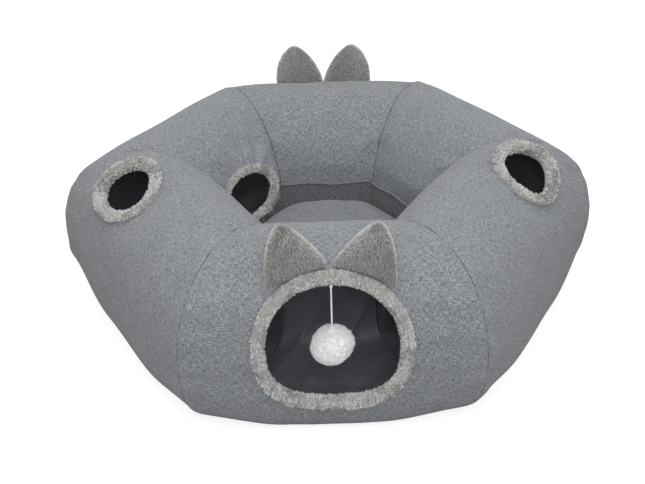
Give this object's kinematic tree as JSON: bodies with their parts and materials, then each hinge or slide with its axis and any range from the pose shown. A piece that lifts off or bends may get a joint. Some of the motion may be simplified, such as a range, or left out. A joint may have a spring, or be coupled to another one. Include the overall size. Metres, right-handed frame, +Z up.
{
  "type": "donut cat tunnel",
  "caption": "Six padded fabric tubes mitred into a ring-shaped cat tunnel round a cushioned nest, with plush-bound entries and peepholes, ears and a hanging pompom.",
  "frame": {"origin": "on the floor, under the middle of the ring's overall box", "axes": "+Z up, -Y out through the main entry with the hanging pompom, +X along the widest extent, to the right as seen from the main entry"},
  "size_m": [0.8498, 0.761, 0.3152],
  "materials": {
    "linen_weave": "heathered grey linen-look weave, foam-backed, matt",
    "black_lining": "smooth near-black lining cloth with a faint sheen",
    "plush_binding": "light grey curly plush",
    "ear_plush": "warm grey short-pile plush",
    "nest_fabric": "grey linen-look weave in the nest's shade",
    "spring_steel": "drawn spring-steel wire",
    "white_yarn": "white yarn, fluffy on the pompom"
  },
  "bodies": {
    "tunnel": {"front_cover": "linen_weave", "front_right_cover": "linen_weave", "rear_right_cover": "linen_weave", "rear_cover": "linen_weave", "rear_left_cover": "linen_weave", "front_left_cover": "linen_weave", "front_lining": "black_lining", "front_right_lining": "black_lining", "rear_right_lining": "black_lining", "rear_lining": "black_lining", "rear_left_lining": "black_lining", "front_left_lining": "black_lining", "front_hoop": "spring_steel", "front_right_hoop": "spring_steel", "rear_right_hoop": "spring_steel", "rear_hoop": "spring_steel", "rear_left_hoop": "spring_steel", "front_left_hoop": "spring_steel", "front_entry_binding": "plush_binding", "rear_entry_binding": "plush_binding", "left_peephole_binding": "plush_binding", "right_peephole_binding": "plush_binding", "nest_hole_binding": "plush_binding", "front_ear_left": "ear_plush", "front_ear_right": "ear_plush", "rear_ear_left": "ear_plush", "rear_ear_right": "ear_plush", "front_nest_wall": "nest_fabric", "front_right_nest_wall": "nest_fabric", "rear_right_nest_wall": "nest_fabric", "rear_nest_wall": "nest_fabric", "rear_left_nest_wall": "nest_fabric", "front_left_nest_wall": "nest_fabric", "nest_floor": "nest_fabric"},
    "knot": {"cord_knot": "white_yarn"},
    "pompom_toy": {"pompom_cord": "white_yarn", "pompom": "white_yarn"},
    "cushion": {"nest_cushion": "linen_weave"}
  },
  "joints": [
    {"name": "pompom_fore_aft", "type": "hinge", "parent": "tunnel", "child": "knot", "pos_m": [0, -0.33405, 0.22383], "axis": [1, 0, 0], "range_deg": [-50, 60]},
    {"name": "pompom_sideways", "type": "hinge", "parent": "knot", "child": "pompom_toy", "pos_m": [0, -0.33405, 0.22383], "axis": [0, 1, 0], "range_deg": [-30, 30]},
    {"name": "cushion_lift", "type": "slide", "parent": "tunnel", "child": "cushion", "axis": [0, 0, 1], "range_m": [0, 0.3]}
  ]
}
